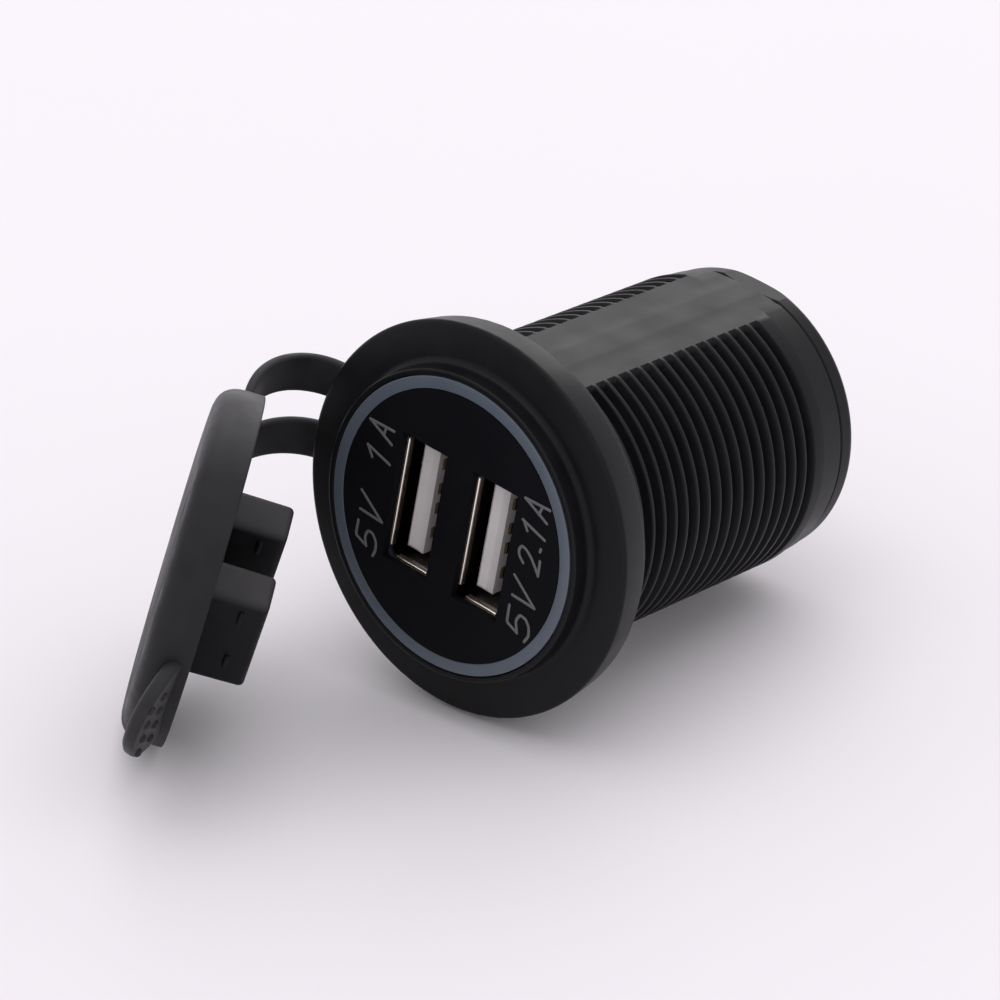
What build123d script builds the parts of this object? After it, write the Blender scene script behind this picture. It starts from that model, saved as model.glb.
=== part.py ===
# Dual USB charging socket for a round panel hole, with a tethered rubber sealing cap.
# Millimetres. The barrel's axis is Y: the face looks along -Y and the barrel goes into the panel along +Y.
# Y = 0 is the plane of the panel's front surface, where the rubber ring behind the flange seats.
# Z is the long side of the two ports. X is to the right for someone who looks at the face.
import os
from math import cos, radians, sin, tan

from build123d import *

os.makedirs("parts", exist_ok=True)

# Housing: flange, raised drum round the face, threaded barrel
flange_radius = 18.5
flange_thickness = 3.3
flange_taper = 0.5
drum_radius = 14.5
drum_height = 2.0
drum_root_fillet = 0.7
barrel_length = 32.9
neck_radius = 14.45
neck_length = 1.2
crest_radius = 14.4
root_radius = 13.55
thread_pitch = 1.58
thread_turns = 17
thread_start = 2.1
groove_root_width = 0.6
groove_crest_width = 1.26
collar_radius = 14.1
flat_distance = 13.5
flat_half_width = 4.7
flat_side_angle = 58
pad_depth = 2.2
edge_round = 0.4
joint_chamfer = 0.3

# Front opening of the housing, and the light ring in it
ring_seat_depth = 2.9
ring_bore_radius = 13.95
ring_gap = 0.1
ring_inner_radius = 12.7
ring_ledge_radius = 10.0
ring_ledge_thickness = 1.2
plate_gap = 0.05
light_leg_width = 3.0
light_leg_thickness = 1.0
light_leg_gap = 0.25

# Space inside the housing
throat_radius = 11.0
bore_radius = 12.1
rail_height = 1.1
rail_depth = 1.4
rail_gap = 0.1

# Ports
port_pitch = 8.4
opening_width = 5.1
opening_height = 12.5
sheet = 0.3
window_width = 5.3
window_height = 12.8
window_web = 0.8
pocket_gap = 0.35
lip_length = 0.8
lip_flare = 0.35
long_lip = 11.1
short_lip = 3.7
shell_setback = 0.9
shell_length = 13.6
finger_width = 1.5
finger_spacing = 6.2
finger_root_y = 2.6
finger_bend_y = -2.7
finger_tip_y = -3.3
finger_reach = 0.45
finger_slot_gap = 0.25
finger_slot_end = 0.4
tongue_thickness = 1.9
tongue_height = 11.1
tongue_offset = -0.85
tongue_setback = 1.0
tongue_chamfer = 0.45
insulator_base = 3.2
contact_width = 1.0
contact_thickness = 0.2
contact_spacings = (-3.5, -1.0, 1.0, 3.5)
contact_setback = 1.0
contact_chamfer = 0.12
fit_gap = 0.05

# Circuit boards and what they carry
port_board_radius = 11.9
port_board_thickness = 1.2
notch_clearance = 0.3
main_board_length = 19.2
main_board_width = 23.0
main_board_thickness = 1.6
board_tab_width = 3.0
board_tab_x = 8.0
led_width = 2.8
led_depth = 1.9
led_radius = 9.3
led_height = 2.24
led_chamfer = 0.3
choke_radius = 4.4
choke_height = 6.4
choke_flange = 1.1
choke_neck = 2.4
choke_x = 3.6
choke_setback = 7.2
winding_radius = 4.0
can_radius = 3.15
can_height = 6.4
can_gap = 0.4
can_round = 0.5
can_x = -5.2
package_chamfer = 0.25
package_lead_height = 0.6
chip_length = 4.9
chip_width = 3.9
chip_height = 1.5
chip_lead_span = 6.0
chip_lead_row = 4.2

# Rear cap and blades
rear_cap_thickness = 2.2
rear_cap_radius = 13.9
rear_cap_round = 0.8
spigot_length = 3.0
spigot_wall = 1.4
spigot_gap = 0.1
boss_height = 0.8
boss_margin = 2.5
boss_end_margin = 1.5
boss_corner = 1.2
mark_length = 2.4
mark_width = 0.6
mark_height = 0.3
mark_offset = 3.6
blade_pitch = 8.0
blade_width = 6.3
blade_thickness = 0.8
blade_length = 8.0
blade_chamfer = 0.9
blade_hole_radius = 0.8
blade_hole_setback = 2.8
shoulder_width = 8.4
shoulder_length = 1.5
tail_width = 3.0
tail_overlap = 2.0

# Rubber sealing cap: ring behind the flange, two strands, lid with plugs and a grip
seal_ring_thickness = 1.0
seal_ring_radius = 17.3
seal_ring_gap = 0.1
strand_width = 3.8
strand_thickness = 0.9
strand_root_z = (4.0, -2.5)
strand_spacing = 9.4
strand_shift = 1.4
strand_stations = 9
strand_clearance = 0.1
strand_root_overlap = 1.0
strand_reach_out = 4.6
strand_reach_in = 5.2
strand_rim_overlap = 1.6
strand_rim_drop = 0.9
lid_radius = 16.2
lid_thickness = 4.4
lid_recess_radius = 14.8
lid_recess_depth = 2.3
lid_round = 2.4
plug_offset = 1.1
plug_thickness = 4.4
plug_height = 11.9
plug_reach = 7.6
plug_round = 0.9
plug_slot_width = 2.6
plug_slot_height = 11.2
plug_slot_depth = 3.6
grip_length = 5.2
grip_width = 10.5
grip_thickness = 1.8
grip_drop = 0.5
grip_tilt = 12
grip_dot_pitch = 2.0
grip_dot_radius = 0.45
grip_dot_height = 0.35

# The lid as it hangs open beside the face
lid_centre = (-13.8, -20.9, -6.8)
lid_turn = 37.6
lid_tip = -7.5
lid_sag = 20.0

# Stations along the axis
flange_back = -seal_ring_thickness
flange_front = flange_back - flange_thickness
face_y = flange_front - drum_height
ring_seat_y = face_y + ring_seat_depth
plate_back = ring_seat_y - ring_ledge_thickness
shell_front = face_y + shell_setback
board_seat_y = shell_front + shell_length
port_board_back = board_seat_y + port_board_thickness
main_board_back = port_board_back + main_board_length
rear_face = barrel_length + rear_cap_thickness
thread_end = thread_start + thread_pitch * (thread_turns + 0.5)


def write(piece, label):
    """Give a finished piece its name and write it."""
    piece.part.label = label
    export_step(piece.part, f"parts/{label}.step")


# Housing. A helical groove, made as a solid of its own, is cut out of a turned body with two flats.
groove_path = Helix(
    pitch=thread_pitch,
    height=thread_pitch * thread_turns,
    radius=root_radius,
    center=(0, thread_start, 0),
    direction=(0, 1, 0),
)
groove_start = groove_path @ 0
groove_plane = Plane(
    origin=groove_start,
    x_dir=Vector(groove_start.X, 0, groove_start.Z),
    z_dir=groove_path % 0,
)
groove_overshoot = 0.1  # the cut leaves the wall by this much
groove_depth = crest_radius - root_radius + groove_overshoot
with BuildPart() as thread_groove:
    with BuildSketch(groove_plane):
        with BuildLine():
            Polyline(
                (0, -groove_root_width / 2),
                (groove_depth, -groove_crest_width / 2),
                (groove_depth, groove_crest_width / 2),
                (0, groove_root_width / 2),
                close=True,
            )
        make_face()
    sweep(path=groove_path, is_frenet=True)

# A plain pad runs along the top and the bottom: the groove stops at the pad's sloped sides.
pad_floor = flat_distance - pad_depth
pad_slope = pad_depth / tan(radians(flat_side_angle))
clear = 2.0  # the pad's prism is longer and higher than the thread by this much
with BuildPart() as thread_cut:
    add(thread_groove.part)
    with BuildSketch(Plane.XZ.offset(-thread_end - clear)):
        with BuildLine():
            Polyline(
                (-flat_half_width + clear / 2, flat_distance + clear),
                (flat_half_width - clear / 2, flat_distance + clear),
                (flat_half_width, flat_distance),
                (flat_half_width + pad_slope, pad_floor),
                (-flat_half_width - pad_slope, pad_floor),
                (-flat_half_width, flat_distance),
                close=True,
            )
        make_face()
        mirror(about=Plane.XZ)
    extrude(amount=thread_end + 2 * clear - flange_back, mode=Mode.SUBTRACT)

rail_length = main_board_length - 2 * rail_gap
rail_centre_y = port_board_back + main_board_length / 2
rail_z = main_board_thickness / 2 + rail_gap + rail_height / 2
with BuildPart() as housing:
    with BuildSketch(Plane.XY) as section:
        with BuildLine():
            Polyline(
                (ring_bore_radius, face_y),
                (drum_radius, face_y),
                (drum_radius, flange_front),
                (flange_radius, flange_front),
                (flange_radius - flange_taper, flange_back),
                (neck_radius, flange_back),
                (neck_radius, neck_length),
                (crest_radius, neck_length),
                (crest_radius, thread_end),
                (collar_radius, thread_end + crest_radius - collar_radius),
                (collar_radius, barrel_length - joint_chamfer),
                (collar_radius - joint_chamfer, barrel_length),
                (bore_radius, barrel_length),
                (bore_radius, board_seat_y),
                (throat_radius, board_seat_y),
                (throat_radius, ring_seat_y),
                (ring_bore_radius, ring_seat_y),
                close=True,
            )
        make_face()
        corners = section.vertices()
        fillet(corners.filter_by(lambda v: v.X == drum_radius and v.Y == flange_front), drum_root_fillet)
        fillet(corners.filter_by(lambda v: v.X == drum_radius and v.Y == face_y), edge_round / 2)
        fillet(corners.filter_by(lambda v: v.X == flange_radius), edge_round)
    revolve(axis=Axis.Y)
    flat_block = flange_radius
    flat_length = barrel_length - neck_length
    flat_centre_y = neck_length + flat_length / 2
    with Locations(
        (0, flat_centre_y, flat_distance + flat_block / 2),
        (0, flat_centre_y, -flat_distance - flat_block / 2),
    ):
        Box(2 * flat_block, flat_length, flat_block, mode=Mode.SUBTRACT)
    # Two pairs of rails hold the edges of the main board.
    with Locations(
        *[
            (side * (bore_radius - rail_depth / 2 + rail_gap), rail_centre_y, level * rail_z)
            for side in (-1, 1)
            for level in (-1, 1)
        ]
    ):
        Box(rail_depth, rail_length, rail_height)
    add(thread_cut.part, mode=Mode.SUBTRACT)
write(housing, "housing")

# Light ring: a clear band round the face, a ledge behind the face plate, and two legs to the lamps.
ring_outer_radius = ring_bore_radius - ring_gap
light_leg_end = board_seat_y - led_depth - light_leg_gap
with BuildPart() as light_ring:
    with BuildSketch(Plane.XY):
        with BuildLine():
            Polyline(
                (ring_ledge_radius, plate_back),
                (ring_inner_radius, plate_back),
                (ring_inner_radius, face_y),
                (ring_outer_radius, face_y),
                (ring_outer_radius, ring_seat_y),
                (ring_ledge_radius, ring_seat_y),
                close=True,
            )
        make_face()
    revolve(axis=Axis.Y)
    with BuildSketch(Plane.XZ.offset(-ring_seat_y)):
        leg_radius = throat_radius - light_leg_thickness / 2 - 2 * ring_gap
        with Locations((0, leg_radius), (0, -leg_radius)):
            Rectangle(light_leg_width, light_leg_thickness)
    extrude(amount=-(light_leg_end - ring_seat_y))
write(light_ring, "light_ring")

# Face plate: a disc with a window for each port and a pocket behind it for the shell's lips.
plate_radius = ring_inner_radius - plate_gap
pocket_width = opening_width + 2 * (sheet + lip_flare + pocket_gap)
pocket_height = opening_height + 2 * (sheet + lip_flare + pocket_gap)
with BuildPart() as face_plate:
    with BuildSketch(Plane.XZ.offset(-plate_back)):
        Circle(plate_radius)
    extrude(amount=plate_back - face_y)
    with BuildSketch(Plane.XZ.offset(-face_y)):
        with GridLocations(port_pitch, 0, 2, 1):
            Rectangle(window_width, window_height)
    extrude(amount=-(plate_back - face_y), mode=Mode.SUBTRACT)
    with BuildSketch(Plane.XZ.offset(-plate_back)):
        with GridLocations(port_pitch, 0, 2, 1):
            Rectangle(pocket_width, pocket_height)
    extrude(amount=plate_back - face_y - window_web, mode=Mode.SUBTRACT)
write(face_plate, "face_plate")

# The two ports are alike: a folded shell with flared lips and spring fingers, a tongue and its contacts.
shell_width = opening_width + 2 * sheet
shell_height = opening_height + 2 * sheet
shell_body_front = shell_front + lip_length
tongue_front = shell_front + tongue_setback
insulator_front = board_seat_y - insulator_base
finger_slot_length = finger_root_y - finger_tip_y + finger_slot_end
for side, port_x in (("left", -port_pitch / 2), ("right", port_pitch / 2)):
    with BuildPart() as usb_shell:
        with BuildSketch(Plane.XZ.offset(-board_seat_y)):
            with Locations((port_x, 0)):
                RectangleRounded(shell_width, shell_height, sheet * 2)
                RectangleRounded(opening_width, opening_height, sheet, mode=Mode.SUBTRACT)
        extrude(amount=board_seat_y - shell_body_front)
        for wall in (-1, 1):
            # Flared lip on the long wall, then on the short wall.
            with BuildSketch(Plane.XY.offset(-long_lip / 2)):
                inner = port_x + wall * opening_width / 2
                with BuildLine():
                    Polyline(
                        (inner, shell_body_front),
                        (inner + wall * sheet, shell_body_front),
                        (inner + wall * (sheet + lip_flare), shell_front),
                        (inner + wall * lip_flare, shell_front),
                        close=True,
                    )
                make_face()
            extrude(amount=long_lip)
            with BuildSketch(Plane.YZ.offset(port_x - short_lip / 2)):
                end = wall * opening_height / 2
                with BuildLine():
                    Polyline(
                        (shell_body_front, end),
                        (shell_body_front, end + wall * sheet),
                        (shell_front, end + wall * (sheet + lip_flare)),
                        (shell_front, end + wall * lip_flare),
                        close=True,
                    )
                make_face()
            extrude(amount=short_lip)
        # Spring fingers: a slot in each long wall and a strip that leans in and turns back.
        slot_centre_y = finger_root_y - finger_slot_length / 2
        finger_places = [
            (port_x + wall * (opening_width + sheet) / 2, slot_centre_y, z)
            for wall in (-1, 1)
            for z in (-finger_spacing / 2, finger_spacing / 2)
        ]
        with Locations(*finger_places):
            Box(sheet * 2, finger_slot_length, finger_width + 2 * finger_slot_gap, mode=Mode.SUBTRACT)
        for wall in (-1, 1):
            face = port_x + wall * opening_width / 2
            for z in (-finger_spacing / 2, finger_spacing / 2):
                with BuildSketch(Plane.XY.offset(z - finger_width / 2)):
                    with BuildLine():
                        Polyline(
                            (face, finger_root_y),
                            (face - wall * finger_reach, finger_bend_y),
                            (face, finger_tip_y),
                            (face + wall * sheet, finger_tip_y),
                            (face - wall * (finger_reach - sheet), finger_bend_y),
                            (face + wall * sheet, finger_root_y),
                            close=True,
                        )
                    make_face()
                extrude(amount=finger_width)
    write(usb_shell, f"usb_shell_{side}")

    tongue_x = port_x + tongue_offset
    contact_face = tongue_x + tongue_thickness / 2
    with BuildPart() as usb_insulator:
        with BuildSketch(Plane.XZ.offset(-board_seat_y)):
            with Locations((port_x, 0)):
                RectangleRounded(opening_width - 2 * fit_gap, opening_height - 2 * fit_gap, sheet)
            with Locations([(contact_face + contact_thickness / 2, z) for z in contact_spacings]):
                Rectangle(contact_thickness, contact_width + 2 * fit_gap, mode=Mode.SUBTRACT)
        extrude(amount=insulator_base)
        with BuildSketch(Plane.XZ.offset(-insulator_front)):
            with Locations((tongue_x, 0)):
                Rectangle(tongue_thickness, tongue_height)
        extrude(amount=insulator_front - tongue_front)
        chamfer(usb_insulator.faces().sort_by(Axis.Y)[0].edges(), tongue_chamfer)
    write(usb_insulator, f"usb_insulator_{side}")

    contact_front = tongue_front + contact_setback
    with BuildPart() as usb_contacts:
        with BuildSketch(Plane.XZ.offset(-board_seat_y)):
            with Locations([(contact_face + contact_thickness / 2, z) for z in contact_spacings]):
                Rectangle(contact_thickness, contact_width)
        extrude(amount=board_seat_y - contact_front)
        tips = usb_contacts.faces().filter_by(Axis.Y).group_by(Axis.Y)[0].edges().filter_by(Axis.Z)
        outer_tips = tips.filter_by(lambda e: e.center().X > contact_face + contact_thickness / 2)
        chamfer(outer_tips, contact_chamfer)
    write(usb_contacts, f"usb_contacts_{side}")

# Port board: a disc against the step in the bore, notched for the rails and slotted for the main board.
with BuildPart() as port_board:
    with BuildSketch(Plane.XZ.offset(-port_board_back)):
        Circle(port_board_radius)
        notch_depth = rail_depth + notch_clearance
        notch_height = 2 * (rail_z + rail_height / 2 + 2 * rail_gap)
        with Locations((bore_radius - notch_depth / 2, 0), (notch_depth / 2 - bore_radius, 0)):
            Rectangle(notch_depth, notch_height, mode=Mode.SUBTRACT)
        with Locations((board_tab_x, 0), (-board_tab_x, 0)):
            Rectangle(
                board_tab_width + 2 * rail_gap, main_board_thickness + 2 * rail_gap, mode=Mode.SUBTRACT
            )
    extrude(amount=port_board_thickness)
write(port_board, "port_board")

# Main board: a plate on the axis with two tabs in front and a notch behind for each blade's tail.
with BuildPart() as main_board:
    with BuildSketch(Plane.XY.offset(-main_board_thickness / 2)):
        with Locations((0, (main_board_back + port_board_back) / 2)):
            Rectangle(main_board_width, main_board_length)
        with Locations(
            (board_tab_x, port_board_back - port_board_thickness / 2),
            (-board_tab_x, port_board_back - port_board_thickness / 2),
        ):
            Rectangle(board_tab_width, port_board_thickness)
        with Locations(
            (blade_pitch / 2, main_board_back - tail_overlap / 2),
            (-blade_pitch / 2, main_board_back - tail_overlap / 2),
        ):
            Rectangle(blade_thickness + 2 * fit_gap, tail_overlap, mode=Mode.SUBTRACT)
    extrude(amount=main_board_thickness)
write(main_board, "main_board")

# Rear cap: a disc with a spigot in the bore, a low boss round the blades, and polarity marks.
with BuildPart() as rear_cap:
    with BuildSketch(Plane.XY) as cap_section:
        spigot_radius = bore_radius - spigot_gap
        with BuildLine():
            Polyline(
                (0, barrel_length),
                (spigot_radius - spigot_wall, barrel_length),
                (spigot_radius - spigot_wall, barrel_length - spigot_length),
                (spigot_radius, barrel_length - spigot_length),
                (spigot_radius, barrel_length),
                (rear_cap_radius, barrel_length),
                (rear_cap_radius, rear_face),
                (0, rear_face),
                close=True,
            )
        make_face()
        rim = cap_section.vertices().filter_by(lambda v: v.X == rear_cap_radius)
        chamfer(rim.sort_by(Axis.Y)[0], joint_chamfer)
        fillet(cap_section.vertices().sort_by(Axis.Y)[-2:].sort_by(Axis.X)[-1], rear_cap_round)
    revolve(axis=Axis.Y)
    with BuildSketch(Plane.XZ.offset(-rear_face)):
        RectangleRounded(blade_pitch + 2 * boss_margin, blade_width + 2 * boss_end_margin, boss_corner)
    extrude(amount=-boss_height)
    with BuildSketch(Plane.XZ.offset(-rear_face)):
        mark_z = blade_width / 2 + mark_offset
        with Locations((blade_pitch / 2, mark_z)):
            Rectangle(mark_length, mark_width)
            Rectangle(mark_width, mark_length)
        with Locations((-blade_pitch / 2, mark_z)):
            Rectangle(mark_length, mark_width)
    extrude(amount=-mark_height)
    with GridLocations(blade_pitch, 0, 2, 1):
        with Locations((0, rear_face, 0)):
            Box(blade_thickness + 2 * fit_gap, 4 * rear_cap_thickness, blade_width + 2 * fit_gap,
                mode=Mode.SUBTRACT)
    with Locations(
        (0, rear_face, flat_distance + flat_block / 2), (0, rear_face, -flat_distance - flat_block / 2)
    ):
        Box(2 * flat_block, 4 * rear_cap_thickness, flat_block, mode=Mode.SUBTRACT)
write(rear_cap, "rear_cap")

# Blades: a push-on tab behind the cap, a shoulder against its inner face, and a tail on the main board.
tail_front = main_board_back - tail_overlap
blade_tip = rear_face + blade_length
shoulder_front = barrel_length - shoulder_length
for name, blade_x in (("terminal_negative", -blade_pitch / 2), ("terminal_positive", blade_pitch / 2)):
    with BuildPart() as blade:
        with BuildSketch(Plane.YZ.offset(blade_x - blade_thickness / 2)) as outline:
            with Locations(((shoulder_front + blade_tip) / 2, 0)):
                Rectangle(blade_tip - shoulder_front, blade_width)
            chamfer(outline.vertices().group_by(Axis.X)[-1], blade_chamfer)
            with Locations(((shoulder_front + barrel_length) / 2, 0)):
                Rectangle(shoulder_length, shoulder_width)
            with Locations(((tail_front + shoulder_front) / 2, 0)):
                Rectangle(shoulder_front - tail_front, tail_width)
            with Locations((blade_tip - blade_hole_setback, 0)):
                Circle(blade_hole_radius, mode=Mode.SUBTRACT)
        extrude(amount=blade_thickness)
    write(blade, name)

# Lamps for the light ring, one facing each leg.
for name, level in (("ring_lamp_top", 1), ("ring_lamp_bottom", -1)):
    with BuildPart() as lamp:
        with BuildSketch(Plane.XZ.offset(-board_seat_y)):
            with Locations((0, level * led_radius)):
                Rectangle(led_width, led_height)
        extrude(amount=led_depth)
        chamfer(lamp.faces().sort_by(Axis.Y)[0].edges(), led_chamfer)
    write(lamp, name)

# Parts on the main board. The upper side carries the tall ones.
board_top = main_board_thickness / 2
choke_place = (choke_x, port_board_back + choke_setback)
with BuildPart() as choke_core:
    with BuildSketch(Plane.XY.offset(board_top)):
        with Locations(choke_place):
            Circle(choke_radius)
    extrude(amount=choke_flange)
    with BuildSketch(Plane.XY.offset(board_top + choke_flange)):
        with Locations(choke_place):
            Circle(choke_neck)
    extrude(amount=choke_height - 2 * choke_flange)
    with BuildSketch(Plane.XY.offset(board_top + choke_height - choke_flange)):
        with Locations(choke_place):
            Circle(choke_radius)
    extrude(amount=choke_flange)
write(choke_core, "choke_core")

with BuildPart() as choke_winding:
    with BuildSketch(Plane.XY.offset(board_top + choke_flange + fit_gap)):
        with Locations(choke_place):
            Circle(winding_radius)
            Circle(choke_neck + fit_gap, mode=Mode.SUBTRACT)
    extrude(amount=choke_height - 2 * choke_flange - 2 * fit_gap)
write(choke_winding, "choke_winding")

can_places = (
    ("output_capacitor", port_board_back + can_radius + can_gap),
    ("input_capacitor", tail_front - can_radius - can_gap),
)
for name, place_y in can_places:
    with BuildPart() as capacitor:
        with BuildSketch(Plane.XY.offset(board_top)):
            with Locations((can_x, place_y)):
                Circle(can_radius)
        extrude(amount=can_height)
        fillet(capacitor.edges().filter_by(GeomType.CIRCLE).sort_by(Axis.Z)[-1], can_round)
    write(capacitor, name)

# Flat packages: a body with a strip of metal at each end, as one solid. Each row has the name, the place on
# the board, the body's length, width and height, the strip's two spans, and the side of the board.
chip = (chip_length, chip_width, chip_height)
chip_leads = (chip_lead_row, chip_lead_span)
packages = (
    ("rectifier_diode", (3.8, main_board_back - 4.6), (4.4, 3.6, 2.2), (5.2, 1.6), 1),
    ("converter_chip", (-4.6, port_board_back + 8.0), chip, chip_leads, -1),
    ("charge_chip", (4.8, port_board_back + 5.0), chip, chip_leads, -1),
    ("input_fuse", (4.8, main_board_back - 5.2), (4.5, 3.0, 1.6), (5.2, 2.2), -1),
)
for name, place, size, lead_spans, facing in packages:
    with BuildPart() as package:
        with BuildSketch(Plane.XY.offset(facing * board_top)):
            with Locations(place):
                Rectangle(size[0], size[1])
        extrude(amount=facing * size[2])
        chamfer(package.faces().sort_by(Axis.Z)[-1 if facing > 0 else 0].edges(), package_chamfer)
        with BuildSketch(Plane.XY.offset(facing * board_top)):
            with Locations(place):
                Rectangle(*lead_spans)
        extrude(amount=facing * package_lead_height)
    write(package, name)

# Sealing cap. Its lid is drawn in its own plane: x points away from the strap, z out of the inner side.
turn, tip, sag = radians(lid_turn), radians(lid_tip), radians(lid_sag)
lid_normal = Vector(cos(tip) * cos(turn), cos(tip) * sin(turn), sin(tip))
level_dir = lid_normal.cross(Vector(0, 0, 1)).normalized()
rise_dir = level_dir.cross(lid_normal)
lid_out = level_dir * cos(sag) - rise_dir * sin(sag)
lid_along = rise_dir * cos(sag) + level_dir * sin(sag)
lid_plane = Plane(origin=lid_centre, x_dir=lid_out, z_dir=lid_normal)

# The grip starts inside the lid's rim and leans away from the inner side. Its own x runs along it.
lean = radians(grip_tilt)
grip_plane = Plane(
    origin=Vector(*lid_centre) + lid_out * lid_recess_radius - lid_normal * grip_drop,
    x_dir=lid_out * cos(lean) - lid_normal * sin(lean),
    z_dir=lid_normal * cos(lean) + lid_out * sin(lean),
)
grip_root = (lid_radius - lid_recess_radius) / 4
grip_end = lid_radius - lid_recess_radius + grip_length
strand_bend_radius = flange_radius + strand_clearance


def strand_sections(index):
    """Planes along one strand: a cubic curve from just outside the flange to the lid's rim.

    The strand leaves the flange along -X and meets the lid along the lid's own outward direction.
    Its width turns from Z to the lid's direction across the strap.
    """
    across = (0.5 - index) * strand_spacing + strand_shift
    start = Vector(-strand_bend_radius, -strand_thickness / 2, strand_root_z[index])
    rim = Vector(*lid_centre) - lid_out * (lid_radius - strand_rim_overlap) + lid_along * across
    end = rim - lid_normal * (strand_thickness / 2 + strand_rim_drop)
    reach_out = start + Vector(-strand_reach_out, 0, 0)
    reach_in = end - lid_out * strand_reach_in
    planes = []
    for station in range(strand_stations):
        t = station / (strand_stations - 1)
        u = 1 - t
        point = start * u**3 + reach_out * (3 * u * u * t) + reach_in * (3 * u * t * t) + end * t**3
        along = (reach_out - start) * (u * u) + (reach_in - reach_out) * (2 * u * t)
        along += (end - reach_in) * (t * t)
        wide = Vector(0, 0, 1) * (1 - t * t) + lid_along * (t * t)
        square = wide - along * (wide.dot(along) / along.dot(along))
        planes.append(Plane(origin=point, x_dir=square, z_dir=along))
    return planes


strands = []
for index in (0, 1):
    with BuildPart() as strand:
        for plane in strand_sections(index):
            with BuildSketch(plane):
                Rectangle(strand_width, strand_thickness)
        loft()
    strands.append(strand.part)

with BuildPart() as sealing_cap:
    with BuildSketch(Plane.XZ):
        Circle(seal_ring_radius)
        Circle(neck_radius + seal_ring_gap, mode=Mode.SUBTRACT)
    extrude(amount=seal_ring_thickness)
    # The strands leave the ring side by side, flat under the flange.
    strand_root_length = strand_bend_radius - crest_radius - strand_root_overlap
    strand_root_x = strand_root_length / 2 - strand_bend_radius
    with Locations(*[(strand_root_x, -strand_thickness / 2, z) for z in strand_root_z]):
        Box(strand_root_length, strand_thickness, strand_width)
    with BuildSketch(lid_plane.offset(-lid_thickness)):
        Circle(lid_radius)
    extrude(amount=lid_thickness)
    lid_axis = Axis(origin=lid_centre, direction=lid_normal)
    lid_edges = sealing_cap.edges().filter_by(GeomType.CIRCLE).filter_by(lambda e: e.radius == lid_radius)
    fillet(lid_edges.sort_by(lid_axis)[0], lid_round)
    with BuildSketch(lid_plane):
        Circle(lid_recess_radius)
    extrude(amount=-lid_recess_depth, mode=Mode.SUBTRACT)
    plug_places = [(plug_offset - port_pitch / 2, 0), (plug_offset + port_pitch / 2, 0)]
    with BuildSketch(lid_plane.offset(-lid_recess_depth)):
        with Locations(plug_places):
            RectangleRounded(plug_thickness, plug_height, plug_round)
    extrude(amount=plug_reach)
    with BuildSketch(lid_plane.offset(plug_reach - lid_recess_depth)):
        with Locations(plug_places):
            RectangleRounded(plug_slot_width, plug_slot_height, plug_round)
    extrude(amount=-plug_slot_depth, mode=Mode.SUBTRACT)
    with BuildSketch(grip_plane):
        with Locations(((grip_root + grip_end - grip_width / 2) / 2, 0)):
            Rectangle(grip_end - grip_width / 2 - grip_root, grip_width)
        with Locations((grip_end - grip_width / 2, 0)):
            Circle(grip_width / 2)
    extrude(amount=-grip_thickness)
    with BuildSketch(grip_plane):
        with Locations((grip_end - grip_length / 2, 0)):
            with GridLocations(grip_dot_pitch, grip_dot_pitch, 2, 4):
                Circle(grip_dot_radius)
    extrude(amount=grip_dot_height)
    for strand in strands:
        add(strand)
write(sealing_cap, "sealing_cap")
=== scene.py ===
# %% [markdown]
# A dual USB charging socket for a round panel hole, with a rubber lid that hangs open on a strap.
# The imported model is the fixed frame: every piece below is drawn in its place and rides on its one body.
# A lesson starts with what is fixed, because everything else is measured against it.

# %% Load the fixed frame and note its box
import math

import bmesh
import bpy
import numpy as np
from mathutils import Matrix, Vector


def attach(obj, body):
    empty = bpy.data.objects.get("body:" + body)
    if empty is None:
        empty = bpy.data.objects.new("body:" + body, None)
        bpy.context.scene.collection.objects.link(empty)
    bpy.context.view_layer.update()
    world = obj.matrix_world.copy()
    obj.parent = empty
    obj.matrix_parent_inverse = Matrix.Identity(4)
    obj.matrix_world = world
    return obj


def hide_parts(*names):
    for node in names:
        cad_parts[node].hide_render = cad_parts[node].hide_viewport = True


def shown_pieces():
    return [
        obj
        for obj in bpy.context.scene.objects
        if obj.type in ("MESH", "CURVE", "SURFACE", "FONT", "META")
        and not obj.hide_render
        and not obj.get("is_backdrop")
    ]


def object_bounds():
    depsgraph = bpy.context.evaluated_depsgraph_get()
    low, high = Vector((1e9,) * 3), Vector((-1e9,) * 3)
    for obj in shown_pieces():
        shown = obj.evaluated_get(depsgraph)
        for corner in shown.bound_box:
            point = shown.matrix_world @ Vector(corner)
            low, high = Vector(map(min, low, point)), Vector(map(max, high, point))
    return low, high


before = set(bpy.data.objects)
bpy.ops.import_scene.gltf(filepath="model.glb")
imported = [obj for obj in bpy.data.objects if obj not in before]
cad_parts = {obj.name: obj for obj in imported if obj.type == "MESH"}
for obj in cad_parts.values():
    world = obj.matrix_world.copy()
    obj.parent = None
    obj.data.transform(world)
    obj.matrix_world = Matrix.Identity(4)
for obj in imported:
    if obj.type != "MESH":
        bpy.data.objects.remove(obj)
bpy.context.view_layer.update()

MM = 0.001

# %% [markdown]
# The camera stands where the photographer stood: high on the right, with a long lens, so that lines stay
# nearly parallel. A camera's own axes are right, up and back, and they are the columns of its matrix.
# Writing the matrix is surer than turning Euler angles, because nothing is left to rounding.

# %% Camera
from mathutils import Matrix

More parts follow.
